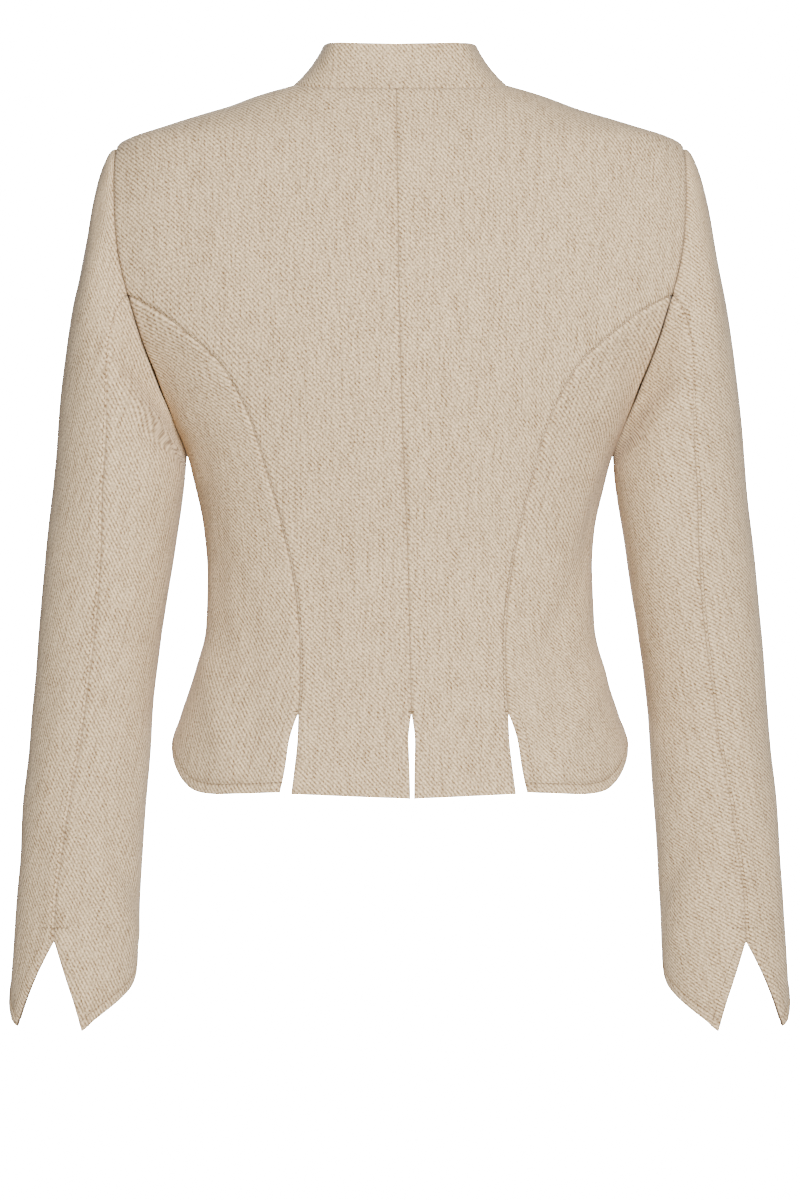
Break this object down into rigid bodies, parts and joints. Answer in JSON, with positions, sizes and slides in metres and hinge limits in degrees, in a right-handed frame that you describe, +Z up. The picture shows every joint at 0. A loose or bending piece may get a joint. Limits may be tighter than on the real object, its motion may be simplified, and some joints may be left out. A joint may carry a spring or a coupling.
{
  "type": "blazer",
  "caption": "Cropped fitted blazer with stand collar, princess seams, slit back hem and notched cuffs, hollow as worn",
  "frame": {"origin": "between the two shoulder neck points, at the height of the shoulder seams there, where the wearer's neck and shoulders hold the garment", "axes": "+Z up, the wearer faces -Y, +X is the wearer's left"},
  "size_m": [0.5672, 0.2314, 0.7107],
  "materials": {
    "melange_twill": "beige melange twill, matt",
    "horn": "brown horn-like plastic, satin"
  },
  "bodies": {
    "root": {"back_left": "melange_twill", "back_right": "melange_twill", "side_left": "melange_twill", "side_right": "melange_twill", "front_left": "melange_twill", "front_right": "melange_twill", "collar": "melange_twill", "upper_sleeve_left": "melange_twill", "upper_sleeve_right": "melange_twill", "under_sleeve_left": "melange_twill", "under_sleeve_right": "melange_twill", "button_top": "horn", "button_middle": "horn", "button_bottom": "horn"}
  },
  "joints": []
}
